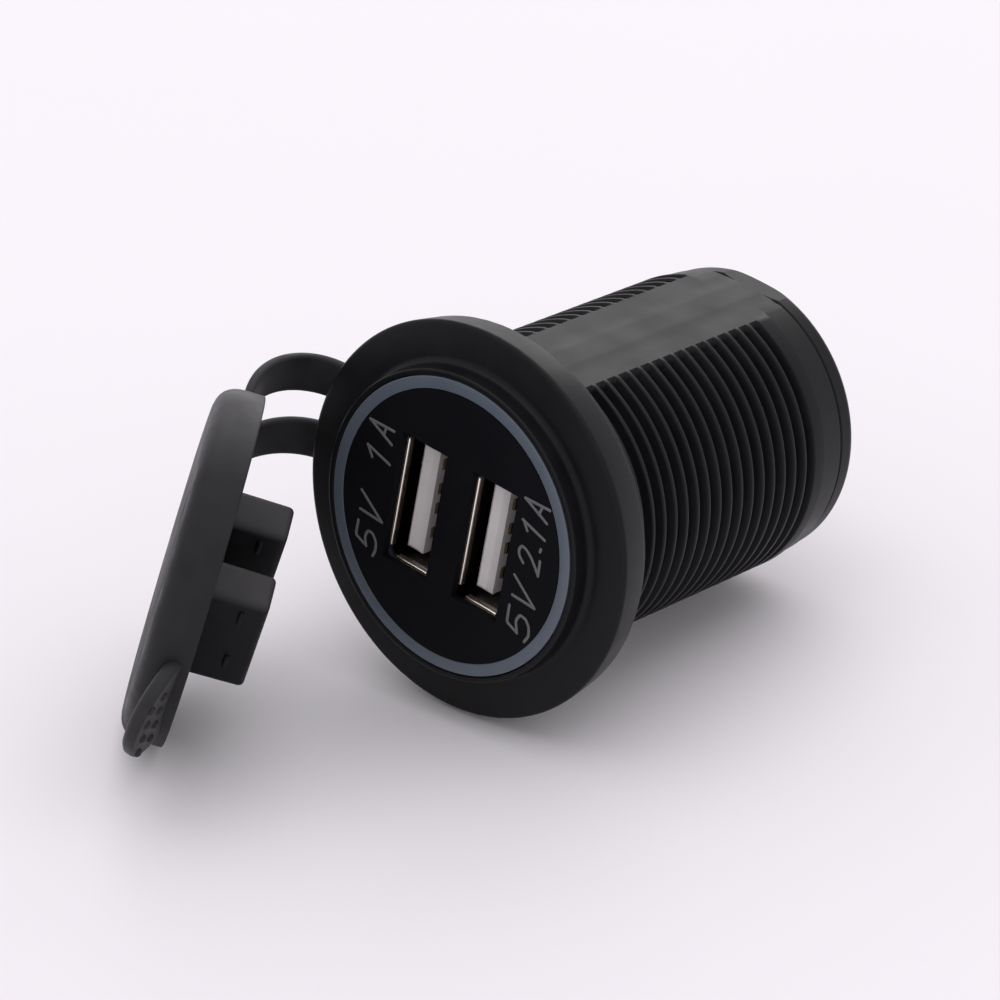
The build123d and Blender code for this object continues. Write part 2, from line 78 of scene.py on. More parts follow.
camera_place = np.array([224.7, -307.1, 205.1]) * MM
camera_right = np.array([0.74253, 0.64999, 0.16176])
camera_up = np.array([-0.42245, 0.26704, 0.86615])
camera_back = np.array([0.51980, -0.71148, 0.47288])
camera_data = bpy.data.cameras.new("camera")
camera_data.sensor_width = 36.0
camera_data.lens = 173.9
camera_data.clip_start = 0.01
camera = bpy.data.objects.new("camera", camera_data)
bpy.context.scene.collection.objects.link(camera)
turn_matrix = np.eye(4)
turn_matrix[:3, :3] = np.stack([camera_right, camera_up, camera_back], axis=1)
turn_matrix[:3, 3] = camera_place
camera.matrix_world = Matrix(turn_matrix.tolist())
bpy.context.scene.camera = camera
print("camera looks along", -camera_back)

# %% [markdown]
# Every new surface is a grid of points. A grid becomes a mesh by joining each point with its right and
# lower neighbour into a four-cornered face. A direction that closes on itself, such as the way round a
# barrel, joins its last line to its first. Where a line of points shrinks to one place, the pole, the
# doubled points are merged so that the skin stays closed.

# %% Grids to meshes
def grid_faces(rows, columns, close_rows, close_columns, first=0):
    """Faces of a rows x columns grid: each joins point (i, j) with (i, j+1), (i+1, j+1) and (i+1, j)."""
    i = np.arange(rows if close_rows else rows - 1)
    j = np.arange(columns if close_columns else columns - 1)
    i, j = np.meshgrid(i, j, indexing="ij")
    below, right = (i + 1) % rows, (j + 1) % columns
    corners = [i * columns + j, i * columns + right, below * columns + right, below * columns + j]
    return first + np.stack(corners, axis=-1).reshape(-1, 4)


def make_piece(name, skins, crease=34.0, stands_for=None):
    """One object from several skins. A skin is (points in mm, close the rows, close the columns)."""
    points = np.concatenate([skin[0].reshape(-1, 3) for skin in skins]) * MM
    faces, first = [], 0
    for grid, close_rows, close_columns in skins:
        faces.append(grid_faces(grid.shape[0], grid.shape[1], close_rows, close_columns, first))
        first += grid.shape[0] * grid.shape[1]
    mesh = bpy.data.meshes.new(name)
    mesh.from_pydata(points, [], np.concatenate(faces))
    work = bmesh.new()
    work.from_mesh(mesh)
    bmesh.ops.remove_doubles(work, verts=work.verts, dist=1e-7)
    bmesh.ops.recalc_face_normals(work, faces=work.faces)
    work.to_mesh(mesh)
    work.free()
    mesh.shade_smooth()
    mesh.set_sharp_from_angle(angle=math.radians(crease))
    piece = bpy.data.objects.new(name, mesh)
    bpy.context.scene.collection.objects.link(piece)
    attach(piece, "root")
    if stands_for:
        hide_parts(stands_for)
    print(name, len(mesh.vertices), "points", len(mesh.polygons), "faces")


# %% [markdown]
# A moulded edge is never sharp. The next helper takes the corners of a section and turns each one into a
# short curve: it leaves the first side a little before the corner, heads for the corner, and joins the
# second side the same distance after it. That is a quadratic Bezier curve, worked out for all corners.

# %% Rounded sections, turned skins and rounded boxes
def soften(corners, reach, steps=5, closed=False):
    """Corner c becomes (1-t)^2 a + 2t(1-t) c + t^2 b, with a and b on its two sides at the given reach."""
    corners = np.asarray(corners, float)
    reach = np.broadcast_to(np.asarray(reach, float), (len(corners),)).copy()
    if not closed:
        reach[[0, -1]] = 0

    def towards(other):
        way = other - corners
        length = np.maximum(np.linalg.norm(way, axis=1, keepdims=True), 1e-9)
        return corners + way / length * reach[:, None]

    a, b = towards(np.roll(corners, 1, axis=0)), towards(np.roll(corners, -1, axis=0))
    t = np.linspace(0, 1, steps)[None, :, None]
    curve = (1 - t) ** 2 * a[:, None] + 2 * t * (1 - t) * corners[:, None] + t**2 * b[:, None]
    keep = np.ones((len(corners), steps), bool)
    keep[reach == 0, 1:] = False
    return curve[keep]


def turned(section, angles):
    """Turn a section of (radius, height) round the barrel's axis: x = r sin a, y = height, z = r cos a."""
    radius, height = section[:, 0, None], section[:, 1, None]
    return np.stack([radius * np.sin(angles), height + 0 * angles, radius * np.cos(angles)], axis=-1)


def box_rings(half_width, half_height, corner, steps=6):
    """Rings of a rounded rectangle, one for each row: four quarter circles whose centres are drawn in."""
    a = np.concatenate([np.linspace(q, q + math.pi / 2, steps) for q in np.arange(4) * math.pi / 2])
    side_x = np.repeat([1, -1, -1, 1], steps)
    side_y = np.repeat([1, 1, -1, -1], steps)
    half_width, half_height, corner = (np.asarray(v, float)[:, None]
                                       for v in (half_width, half_height, corner))
    x = side_x * (half_width - corner) + corner * np.cos(a)
    y = side_y * (half_height - corner) + corner * np.sin(a)
    return np.stack([x, y], axis=-1)


full_turn = np.linspace(0, 2 * np.pi, 256, endpoint=False)
print("helpers ready")

# %% [markdown]
# The housing is one black moulding: a flange, a raised drum round the face and a barrel with a right-handed
# thread. A thread could be a screw modifier, but this one stops at two plain pads with sloped sides, and
# those ends are what the eye rests on. So the barrel becomes a height field: rows of points that follow the
# thread, columns at chosen angles, and one radius for each. First come its measures, its columns and the
# sections that its rows are read from.

# %% Housing: measures, columns and sections
flange_back, flange_front, face_y, barrel_end = -1.0, -4.3, -6.3, 32.9
flange_radius, drum_radius, pocket_radius, pocket_floor = 18.5, 14.5, 13.95, -3.4
bore_radius, bore_front, tunnel_radius, joint_groove = 12.1, 8.2, 11.0, 0.4
crest_radius, root_radius, neck_radius, collar_radius = 14.4, 13.55, 14.45, 14.1
pitch, turns, thread_start, neck_length = 1.58, 17, 2.1, 1.2
flat_distance, flat_half_width, pad_slope = 13.5, 4.7, math.tan(math.radians(58))
root_half, crest_half, strip_height = 0.30, 0.595, 0.03
thread_end = thread_start + pitch * (turns + 0.5)

# Columns of points: close together at the strip's edge (6.3 to 7.1 degrees) and at the pad's sloped side
quarter = np.radians([0, 4, 6.3, 7.1, 12, 16.77, 18.2, 19.195, 20.36, 21.2, 22.2, 23.25, 24.5])
quarter = np.concatenate([quarter, np.linspace(np.radians(27), np.pi / 2, 27)])
half = np.concatenate([quarter, np.pi - quarter[-2::-1]])
around = np.concatenate([half, 2 * np.pi - half[-2:0:-1]])

groove = soften([(-pitch / 2, crest_radius), (-crest_half, crest_radius), (-root_half, root_radius),
                 (root_half, root_radius), (crest_half, crest_radius), (pitch / 2, crest_radius)],
                [0, 0.13, 0.1, 0.1, 0.13, 0], steps=4)[:-1]
thread_rows = (thread_start + pitch * np.arange(turns)[:, None] + groove[None, :, 0]).ravel()
thread_depth = np.tile(groove[:, 1], turns)

front = soften([(pocket_radius, pocket_floor), (pocket_radius, face_y), (drum_radius, face_y),
                (drum_radius, flange_front), (flange_radius, flange_front),
                (flange_radius - 0.5, flange_back), (neck_radius, flange_back), (neck_radius, neck_length)],
               [0, 0.12, 0.2, 0.7, 0.45, 0.25, 0, 0], steps=6)
rear = soften([(crest_radius, thread_end), (collar_radius, thread_end + 0.3),
               (collar_radius, barrel_end - 0.3), (collar_radius - joint_groove, barrel_end),
               (bore_radius, barrel_end)], [0, 0.1, 0.06, 0.06, 0], steps=4)
inside = np.array([(bore_radius, barrel_end), (bore_radius, bore_front), (tunnel_radius, bore_front),
                   (tunnel_radius, pocket_floor)])
print("housing:", len(around), "columns, thread from", thread_start, "to", round(thread_end, 2), "mm")

# %% [markdown]
# Now the radius of every point. On the thread it is the groove's or the pad's, whichever is larger, so a pad
# fills the grooves. Past the neck it is never above the flat, and along the middle of each pad the mould
# left a strip that stands a hair proud. The rows follow the helix round the barrel and step back by one
# pitch under the top pad, where the surface is flat and the step can't be seen. That closes the skin without
# a seam.

# %% Housing: the radius everywhere
row_y = np.concatenate([front[:, 1], [neck_length], thread_rows, rear[:, 1], inside[:, 1]])
row_radius = np.concatenate([front[:, 0], [crest_radius], thread_depth, rear[:, 0], inside[:, 0]])
row_helix = np.concatenate([0 * front[:, 1], [0], 1 + 0 * thread_rows, 0 * rear[:, 1], 0 * inside[:, 1]])
row_flat = np.concatenate([0 * front[:, 1], [1], 1 + 0 * thread_rows, 1 + 0 * rear[:, 1], 0 * inside[:, 1]])

pad_edge, strip_edge = math.radians(18.2), math.radians(6.7)
rise = pitch * around / (2 * np.pi)
step_back = (np.where(around > np.pi, around - 2 * np.pi, around) + pad_edge) / (2 * pad_edge)
low, high = pitch * pad_edge / (2 * np.pi), pitch * (1 - pad_edge / (2 * np.pi))
rise = np.where((step_back > 0) & (step_back < 1), high + (low - high) * step_back, rise)

cosine, sine = np.abs(np.cos(around)), np.abs(np.sin(around))
strip = np.where(sine < math.sin(strip_edge), strip_height, 0)
flat = (flat_distance + strip) / np.maximum(cosine, 0.3)
slope = (flat_distance + pad_slope * flat_half_width) / (cosine + pad_slope * sine)
pad = np.minimum(np.minimum(flat, slope), crest_radius)
radius = np.maximum(row_radius[:, None], np.where(row_helix[:, None] > 0, pad[None], 0))
radius = np.where(row_flat[:, None] > 0, np.minimum(radius, flat[None]), radius)
along = row_y[:, None] + row_helix[:, None] * rise[None]
housing_skin = np.stack([radius * np.sin(around), along, radius * np.cos(around)], axis=-1)
make_piece("threaded_housing", [(housing_skin, True, True)], 30, "housing")

# %% [markdown]
# The light ring is a smoke-blue band let into the drum, with a thin dark gap round it. Behind the face it
# has a ledge and two legs that lead to the lamps, and those have the CAD node's measures.

# %% Light ring
band_inner, band_outer, ledge_inner, ledge_front = 12.7, 13.85, 10.0, -4.6
leg_place, leg_end = 10.3, 6.0
ring_section = soften([(ledge_inner, ledge_front), (band_inner, ledge_front), (band_inner, face_y),
                       (band_outer, face_y), (band_outer, pocket_floor), (ledge_inner, pocket_floor)],
                      [0.05, 0.05, 0.08, 0.08, 0.05, 0.05], steps=4, closed=True)
leg_rows = np.array([pocket_floor, pocket_floor, leg_end, leg_end])
leg_half = np.array([(0.01, 0.01), (1.5, 0.5), (1.5, 0.5), (0.01, 0.01)])
leg_ring = box_rings(leg_half[:, 0], leg_half[:, 1], np.array([0.005, 0.15, 0.15, 0.005]), 4)
legs = [np.stack([leg_ring[..., 0], leg_rows[:, None] + 0 * leg_ring[..., 0],
                  side * leg_place + leg_ring[..., 1]], -1) for side in (1, -1)]
make_piece("light_band", [(turned(ring_section, full_turn), True, True)]
           + [(leg, False, True) for leg in legs], 34, "light_ring")

# %% [markdown]
# The sheet of each port's shell is rolled over at its lips, and that thin round edge is what shines in the
# slot: a convex bar mirrors much of the room, where a flat wall mirrors only the dark slot. Each bead is a
# round bar along one wall, and its radius falls to nothing at both ends like a half circle.

# %% Rolled lips of the ports
port_pitch, opening_half, bead_y, bead_radius, bead_inlay = 8.4, (2.55, 6.25), -5.22, 0.15, 0.1
bead_lengths = (10.8, 3.5)


def bead_skin(middle, wall, length, upright):
    """Radius = r sqrt(1 - (past / r)^2), where past is how far a station lies beyond the straight part."""
    cap = bead_radius * np.sin(np.linspace(0, np.pi / 2, 5))
    straight = np.linspace(-length / 2, length / 2, 4)[1:-1]
    run = np.concatenate([-length / 2 - cap[::-1], straight, length / 2 + cap])
    past = np.clip(np.abs(run) - length / 2, 0, bead_radius)
    thick = np.sqrt(bead_radius**2 - past**2)[:, None]
    turn = np.linspace(0, 2 * np.pi, 14, endpoint=False)
    across, deep = wall + thick * np.cos(turn), bead_y + thick * np.sin(turn)
    along = run[:, None] + 0 * turn
    return np.stack([middle + across, deep, along] if upright else [middle + along, deep, across], axis=-1)


bead_skins = [(bead_skin(middle, side * (half + bead_inlay), length, upright), False, True)
              for middle in (-port_pitch / 2, port_pitch / 2) for side in (-1, 1)
              for half, length, upright in zip(opening_half, bead_lengths, (True, False))]
make_piece("port_lip_beads", bead_skins, 60)

# %% [markdown]
# The rubber cap is one soft moulding, and it is modelled in the lid's own directions: out, away from the
# strap, side, and up, out of the lid's inner face. One matrix product then puts any of its skins in place.

# %% The lid's own directions
lid_centre = np.array([-13.8, -20.9, -6.8])
lid_turn, lid_tip, lid_sag = np.radians([37.6, -7.5, 20.0])
lid_up = np.array([math.cos(lid_tip) * math.cos(lid_turn), math.cos(lid_tip) * math.sin(lid_turn),
                   math.sin(lid_tip)])
level = np.cross(lid_up, [0, 0, 1])
level /= np.linalg.norm(level)
climb = np.cross(level, lid_up)
lid_out = level * math.cos(lid_sag) - climb * math.sin(lid_sag)
lid_side = np.cross(lid_up, lid_out)


def on_lid(out, side, up):
    """Point = centre + out * lid_out + side * lid_side + up * lid_up, for whole arrays."""
    return (lid_centre + np.asarray(out)[..., None] * lid_out + np.asarray(side)[..., None] * lid_side
            + np.asarray(up)[..., None] * lid_up)


print("lid faces", lid_up, "and hangs towards", lid_out)

# %% [markdown]
# The lid itself is a shallow cup: a section turned about its own axis, with a wide rounding on its outer
# edge, a crisp rim, and a recess that grips the drum. Its outer face carries a plain raised panel that sits
# towards the grip, and that is a low turned disc of its own.

# %% Lid
lid_radius, lid_thickness, recess_radius, recess_depth = 16.2, 4.4, 14.8, 2.3
panel_radius, panel_shift, panel_height, panel_root = 11.2, 2.0, 0.1, 0.5
lid_back = panel_height - lid_thickness
lid_section = soften([(0, lid_back), (lid_radius, lid_back), (lid_radius, 0),
                      (recess_radius, 0), (recess_radius, -recess_depth), (0, -recess_depth)],
                     [0, 2.5, 0.22, 0.2, 0.5, 0], steps=9)
panel_section = soften([(0, panel_root - lid_thickness), (panel_radius, panel_root - lid_thickness),
                        (panel_radius, lid_back), (panel_radius - 1.0, -lid_thickness),
                        (0, -lid_thickness)], [0, 0, 0, 0.5, 0], steps=5)


def lid_turned(section, shift=0.0):
    """Turn a section of (radius, up) about the lid's axis, or about one moved by the shift along out."""
    return on_lid(shift + section[:, 0, None] * np.cos(full_turn), section[:, 0, None] * np.sin(full_turn),
                  section[:, 1, None] + 0 * full_turn)


make_piece("rubber_lid", [(lid_turned(lid_section), False, True),
                          (lid_turned(panel_section, panel_shift), False, True)],
           40, "sealing_cap")

# %% [markdown]
# Two rubber plugs stand on the recess floor and close the slots. Each one is a stack of rounded rectangles
# that swells a little at its foot, narrows towards its tip, rounds over there and turns down into a slot.
# Small ribs across the broad faces snap under the spring fingers of the shells.

# %% Plugs
plug_thickness, plug_height, plug_reach, plug_offset, plug_corner = 4.4, 11.9, 7.6, 1.1, 1.0
plug_wall, slot_depth, slot_half_height, plug_foot = 0.95, 3.6, 3.75, 0.3
pole_inset = plug_thickness / 2 - 0.01
plug_top = plug_reach - recess_depth
plug_section = soften([(pole_inset, -recess_depth - plug_foot), (-0.25, -recess_depth - plug_foot),
                       (-0.25, -recess_depth), (0, -recess_depth + plug_foot), (0.12, plug_top),
                       (plug_wall, plug_top), (plug_wall, plug_top - slot_depth),
                       (pole_inset, plug_top - slot_depth)], [0, 0, 0.1, 0.15, 0.6, 0.12, 0.2, 0], steps=6)


def plug_skin(place):
    """Rows of rounded rectangles, drawn in by the section's first number at the height of its second."""
    inset, up = plug_section[:, 0], plug_section[:, 1]
    half_width = np.maximum(plug_thickness / 2 - inset, 0.01)
    half_height = np.maximum(plug_height / 2 - inset, 0.01)
    corner = np.clip(plug_corner - inset, 0.005, half_width * 0.98)
    half_height = np.where(inset > 2.1, slot_half_height, half_height)
    ring = box_rings(half_width, half_height, corner)
    return on_lid(place + ring[..., 0], ring[..., 1], up[:, None] + 0 * ring[..., 0])


def rib_skin(out, side, up, facing):
    """A low rounded bar on a broad face: a dome in section, drawn out across the plug."""
    ring = box_rings([0.02, 0.85, 0.8, 0.7, 0.02], [0.02, 0.24, 0.21, 0.12, 0.02],
                     [0.01, 0.2, 0.18, 0.1, 0.01], 4)
    lift = np.array([-0.2, -0.2, 0.1, 0.18, 0.18])[:, None]
    return on_lid(out + facing * lift + 0 * ring[..., 0], side + ring[..., 0], up + ring[..., 1])


plug_places = [plug_offset - port_pitch / 2, plug_offset + port_pitch / 2]
plug_skins = [(plug_skin(place), False, True) for place in plug_places]
rib_up, rib_sides = 3.1, (-3.8, 2.4)
plug_skins += [(rib_skin(place + facing * plug_thickness / 2, side, rib_up, facing), False, True)
               for place in plug_places for side in rib_sides for facing in (-1, 1)]
make_piece("rubber_plugs", plug_skins, 40)

# %% [markdown]
# A finger lifts the lid by its grip: a tongue with a round end that leans away from the inner face and
# carries two rows of small domes. The tongue is a stack of rounded rectangles again, this time flat.

# %% Grip and its domes
grip_tilt = math.radians(20)
grip_out = lid_out * math.cos(grip_tilt) - lid_up * math.sin(grip_tilt)
grip_up = lid_up * math.cos(grip_tilt) + lid_out * math.sin(grip_tilt)
grip_origin = lid_centre + lid_out * recess_radius - lid_up * 0.5
grip_start, grip_stop, grip_half, grip_corner, grip_root = 0.35, 6.6, 5.25, 5.1, 4.0
dome_radius, dome_height, dome_setback = 0.45, 0.35, 2.6


def on_grip(out, side, up):
    """Point = origin + out * grip_out + side * lid_side + up * grip_up."""
    return (grip_origin + np.asarray(out)[..., None] * grip_out + np.asarray(side)[..., None] * lid_side
            + np.asarray(up)[..., None] * grip_up)


# The tongue's rows from its inner face down to its outer one: how far each is drawn in, and its height
grip_inset = np.array([2.6, 0.45, 0.2, 0.06, 0.0, 0.0, 0.1, 0.35, 0.7, 2.6])
grip_level = np.array([0.0, 0.0, -0.03, -0.12, -0.3, -0.8, -1.05, -1.28, -1.4, -1.4])
half_length = (grip_stop + grip_root) / 2
grip_ring = box_rings(np.maximum(half_length - grip_inset, 0.1), np.maximum(grip_half - grip_inset, 0.1),
                      np.maximum(grip_corner - grip_inset, 0.09), 10)
grip_ring[[0, -1]] = 0
grip_skin = on_grip(np.maximum(grip_stop - half_length + grip_ring[..., 0], grip_start), grip_ring[..., 1],
                    grip_level[:, None] + 0 * grip_ring[..., 0])
dome_out, dome_side = np.meshgrid(grip_stop - dome_setback + np.array([-1, 1]), np.array([-3, -1, 1, 3.0]),
                                  indexing="ij")
dome_angle = np.linspace(0, np.pi / 2, 5)
dome_around = np.linspace(0, 2 * np.pi, 16, endpoint=False)
spread = dome_radius * np.cos(dome_angle)[:, None]
dome_rise = dome_height * np.sin(dome_angle)[:, None] + 0 * dome_around
dome_skins = [(on_grip(out + spread * np.cos(dome_around), side + spread * np.sin(dome_around), dome_rise),
               False, True) for out, side in zip(dome_out.ravel(), dome_side.ravel())]
make_piece("rubber_grip", [(grip_skin, False, True)] + dome_skins, 50)

# %% [markdown]
# Two flat strands tie the lid to a ring that the flange clamps to the panel. Each strand is a cubic curve
# with a rounded bar carried along it. Its width turns from upright at the flange to the lid's own side.
# The roots lie a hair under the ring's back face, because two skins in one plane would flicker.

# %% Strap: ring and strands
strand_width, strand_thickness, strand_spacing, strand_shift = 3.8, 0.9, 9.4, 1.4
reach_out, reach_in, rim_overlap, rim_drop = 4.6, 5.2, 1.6, 0.9
bend_x, root_sink, strand_corner, strand_roots = 18.6, 0.04, 0.38, (4.0, -2.5)
ring_radius, seal_gap = 17.3, 0.1


def strand_skin(index, root_z):
    """Bezier curve u^3 a + 3u^2 t b + 3u t^2 c + t^3 d, with a rounded bar square to it at each station."""
    across = (index - 0.5) * strand_spacing - strand_shift
    start = np.array([-bend_x, -strand_thickness / 2 - root_sink, root_z])
    end = on_lid(-(lid_radius - rim_overlap), across, -(strand_thickness / 2 + rim_drop))
    out_point, in_point = start + np.array([-reach_out, 0, 0]), end - lid_out * reach_in
    t = np.linspace(0, 1, 56)[:, None]
    u = 1 - t
    path = start * u**3 + out_point * 3 * u * u * t + in_point * 3 * u * t * t + end * t**3
    way = (out_point - start) * u * u + (in_point - out_point) * 2 * u * t + (end - in_point) * t * t
    # The bar starts 3.3 mm inside the ring, and its first and last outlines shrink to close its ends
    root = start + np.array([[3.3, 0, 0], [3.3, 0, 0], [2.0, 0, 0]])
    path = np.vstack([root, path, path[-1:]])
    way = np.vstack([np.tile([[-1.0, 0, 0]], (3, 1)), way, way[-1:]])
    t = np.concatenate([[0, 0, 0], t[:, 0], [1]])[:, None]
    way /= np.linalg.norm(way, axis=1, keepdims=True)
    wide = np.array([0, 0, 1.0]) * (1 - t * t) - lid_side * (t * t)
    wide -= way * np.sum(wide * way, axis=1, keepdims=True)
    wide /= np.linalg.norm(wide, axis=1, keepdims=True)
    thick = np.cross(way, wide)
    size = np.ones(len(t))
    size[[0, -1]] = 0.01
    ring = box_rings(size * strand_width / 2, size * strand_thickness / 2, size * strand_corner, 5)
    return path[:, None] + ring[..., :1] * wide[:, None] + ring[..., 1:] * thick[:, None]


seal_section = soften([(neck_radius + seal_gap, flange_back), (ring_radius, flange_back), (ring_radius, 0),
                       (neck_radius + seal_gap, 0)], 0.18, steps=4, closed=True)
strap_skins = [(turned(seal_section, full_turn), True, True)]
strap_skins += [(strand_skin(index, root_z), False, True) for index, root_z in enumerate(strand_roots)]
make_piece("rubber_strap", strap_skins, 45)

# %% [markdown]
# The ratings beside the slots are painted lines of one width. Each character is one or more strokes, and each
# stroke is a path of (x, z) corners on the face, so the whole print is a short table of numbers.

# %% Strokes of the printed ratings
label_strokes = {
    "5_left": [[(-10.19, -4.26), (-10.2, -5.76), (-8.83, -6.26)],
               [(-8.83, -6.26), (-9.14, -5.56), (-8.97, -4.78), (-8.38, -4.7), (-7.79, -5.37), (-7.69, -6.17),
                (-7.89, -6.86)]],
    "v_left": [[(-10.36, -1.22), (-7.51, -3.21)], [(-7.51, -3.21), (-10.17, -3.09)]],
    "1_left": [[(-10.55, 3.37), (-7.77, 2.61)], [(-10.55, 3.37), (-9.86, 2.44)]],
    "a_left": [[(-10.75, 5.88), (-7.92, 4.57)], [(-10.75, 5.88), (-7.9, 5.94)],
               [(-8.83, 5.9), (-8.99, 5.06)]],
    "5_right": [[(8.04, -3.98), (8.1, -5.68), (9.39, -6.17)],
                [(9.39, -6.17), (9.03, -5.1), (9.36, -4.33), (10.1, -4.46), (10.58, -5.07), (10.7, -5.88),
                 (10.36, -6.59)]],
    "v_right": [[(7.99, -0.92), (10.74, -2.99)], [(10.74, -2.99), (8.17, -2.88)]],
    "2_right": [[(8.64, 0.64), (8.08, 1.11), (7.92, 1.67), (8.18, 2.17), (8.78, 1.99), (9.45, 1.47),
                 (10.03, 0.79), (10.47, 0.21)], [(10.47, 0.21), (10.4, 1.62)]],
    "point": [[(10.21, 2.52), (10.26, 2.78)]],
    "1_right": [[(7.77, 4.58), (10.47, 3.79)], [(7.85, 4.59), (8.44, 3.79)]],
    "a_right": [[(7.62, 6.68), (10.35, 5.43)], [(7.62, 6.68), (10.42, 6.78)], [(9.58, 6.7), (9.35, 5.88)]],
}
print(sum(len(strokes) for strokes in label_strokes.values()), "strokes")

# %% [markdown]
# A low ribbon is carried along each stroke. Past an end it narrows like a half circle, which gives the round
# ends of a painted line.

# %% Printed ratings
line_width, line_height, line_depth = 0.31, 0.03, 0.01


def stroke_skin(corners):
    """A ribbon along a path; past an end its half width is h sqrt(1 - (distance / h)^2), h the full one."""
    path = soften(corners, 0.25, steps=6)
    run = np.concatenate([[0], np.cumsum(np.linalg.norm(np.diff(path, axis=0), axis=1))])
    half = line_width / 2
    ends = half * np.sin(np.linspace(0, np.pi / 2, 6))
    s = np.concatenate([-ends[:0:-1], np.linspace(0, run[-1], 40), run[-1] + ends[1:]])
    inner = np.clip(s, 0, run[-1])
    spot = np.stack([np.interp(inner, run, path[:, k]) for k in (0, 1)], -1)
    nearby = [np.clip(inner + step, 0, run[-1]) for step in (0.05, -0.05)]
    ahead = np.stack([np.interp(nearby[0], run, path[:, k]) - np.interp(nearby[1], run, path[:, k])
                      for k in (0, 1)], -1)
    ahead /= np.linalg.norm(ahead, axis=1, keepdims=True)
    spot = spot + ahead * (s - inner)[:, None]
    width = half * np.sqrt(np.clip(1 - ((s - inner) / half) ** 2, 0, 1))
    across = np.array([-1, -0.8, 0, 0.8, 1, 0])[None, :, None]
    shoulder = line_height * 0.8
    lift = np.array([-line_depth, shoulder, line_height, shoulder, -line_depth, -line_depth])
    sideways = np.stack([-ahead[:, 1], ahead[:, 0]], -1)[:, None] * width[:, None, None] * across
    flat_points = spot[:, None] + sideways
    up = face_y - lift[None] * np.ones(len(s))[:, None]
    return np.stack([flat_points[..., 0], up, flat_points[..., 1]], -1)


stroke_skins = [(stroke_skin(stroke), False, True)
                for strokes in label_strokes.values() for stroke in strokes]
make_piece("printed_ratings", stroke_skins, 60)

# %% [markdown]
# Materials. Each finish starts from a Principled shader, and what makes it read as a real surface is small
# change: fine grain as bump, slow mottling in the colour, and roughness that isn't the same everywhere.
# A helper keeps the pattern the same: one noise for grain, one for mottling, both on Object coordinates.

# %% A material helper
def finish(name, dark, light, rough, metallic=0.0, mottle=0.25, grain=6.0, bump=0.05, grain_depth=0.02,
           mirror=0.5):
    """Colour = dark to light by slow noise; roughness = low to high by the same; bump = fine noise.

    Mottle and grain are the two noises' scales per mm, and grain_depth is in mm.
    """
    material = bpy.data.materials.new(name)
    material.use_nodes = True
    nodes, links = material.node_tree.nodes, material.node_tree.links
    shader = nodes["Principled BSDF"]
    shader.inputs["Metallic"].default_value = metallic
    shader.inputs["Specular IOR Level"].default_value = mirror
    place = nodes.new("ShaderNodeTexCoord")
    slow = nodes.new("ShaderNodeTexNoise")
    slow.inputs["Scale"].default_value = mottle / MM
    slow.inputs["Detail"].default_value = 6
    links.new(place.outputs["Object"], slow.inputs["Vector"])
    colour = nodes.new("ShaderNodeMix")
    colour.data_type = "RGBA"
    colour.inputs[6].default_value = (*dark, 1)
    colour.inputs[7].default_value = (*light, 1)
    links.new(slow.outputs["Fac"], colour.inputs[0])
    links.new(colour.outputs[2], shader.inputs["Base Color"])
    spread = nodes.new("ShaderNodeMapRange")
    spread.inputs["From Min"].default_value = 0.3
    spread.inputs["From Max"].default_value = 0.7
    spread.inputs["To Min"].default_value = rough[0]
    spread.inputs["To Max"].default_value = rough[1]
    links.new(slow.outputs["Fac"], spread.inputs["Value"])
    links.new(spread.outputs["Result"], shader.inputs["Roughness"])
    fine = nodes.new("ShaderNodeTexNoise")
    fine.inputs["Scale"].default_value = grain / MM
    fine.inputs["Detail"].default_value = 3
    links.new(place.outputs["Object"], fine.inputs["Vector"])
    relief = nodes.new("ShaderNodeBump")
    relief.inputs["Strength"].default_value = bump
    relief.inputs["Distance"].default_value = grain_depth * MM
    links.new(fine.outputs["Fac"], relief.inputs["Height"])
    links.new(relief.outputs["Normal"], shader.inputs["Normal"])
    return material


print("finish helper ready")

# %% [markdown]
# Parts of the frame and new pieces get their finish in the same way: it goes into every slot that they have.

# %% Putting a finish on
def dress(names, material):
    """Give nodes of the frame or pieces their finish, in every slot they have."""
    for name in names:
        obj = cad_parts.get(name) or bpy.data.objects[name]
        if not obj.material_slots:
            obj.data.materials.append(material)
        for slot in obj.material_slots:
            slot.material = material
    print(material.name, "on", ", ".join(names))


print("dress helper ready")

# %% [markdown]
# The black plastics: the housing is satin nylon with a fine spark-eroded grain, the face a shade darker.

# %% Plastics
dress(["threaded_housing", "rear_cap"],
      finish("black_nylon", (0.004, 0.004, 0.005), (0.008, 0.008, 0.009), (0.32, 0.44),
             bump=0.35, grain=7.0, grain_depth=0.03, mirror=0.16))
dress(["face_plate"],
      finish("black_face_plastic", (0.0035, 0.0035, 0.005), (0.006, 0.006, 0.008), (0.5, 0.62),
             bump=0.4, grain=9.0, grain_depth=0.03, mirror=0.06))
dress(["light_band"],
      finish("smoke_light_pipe", (0.078, 0.096, 0.122), (0.10, 0.122, 0.152), (0.3, 0.4), bump=0.1))
dress(["usb_insulator_left", "usb_insulator_right"],
      finish("white_insulator", (0.66, 0.63, 0.62), (0.76, 0.73, 0.72), (0.35, 0.5), bump=0.1))
dress(["printed_ratings"],
      finish("grey_print", (0.085, 0.085, 0.09), (0.13, 0.13, 0.135), (0.5, 0.6), grain=12.0, bump=0.2))

# %% [markdown]
# Rubber picks up a pale dust that lies on it in patches. The mottling makes the patches, and a little sheen,
# a soft glow at grazing angles, lightens the edges of the grip and the strap.

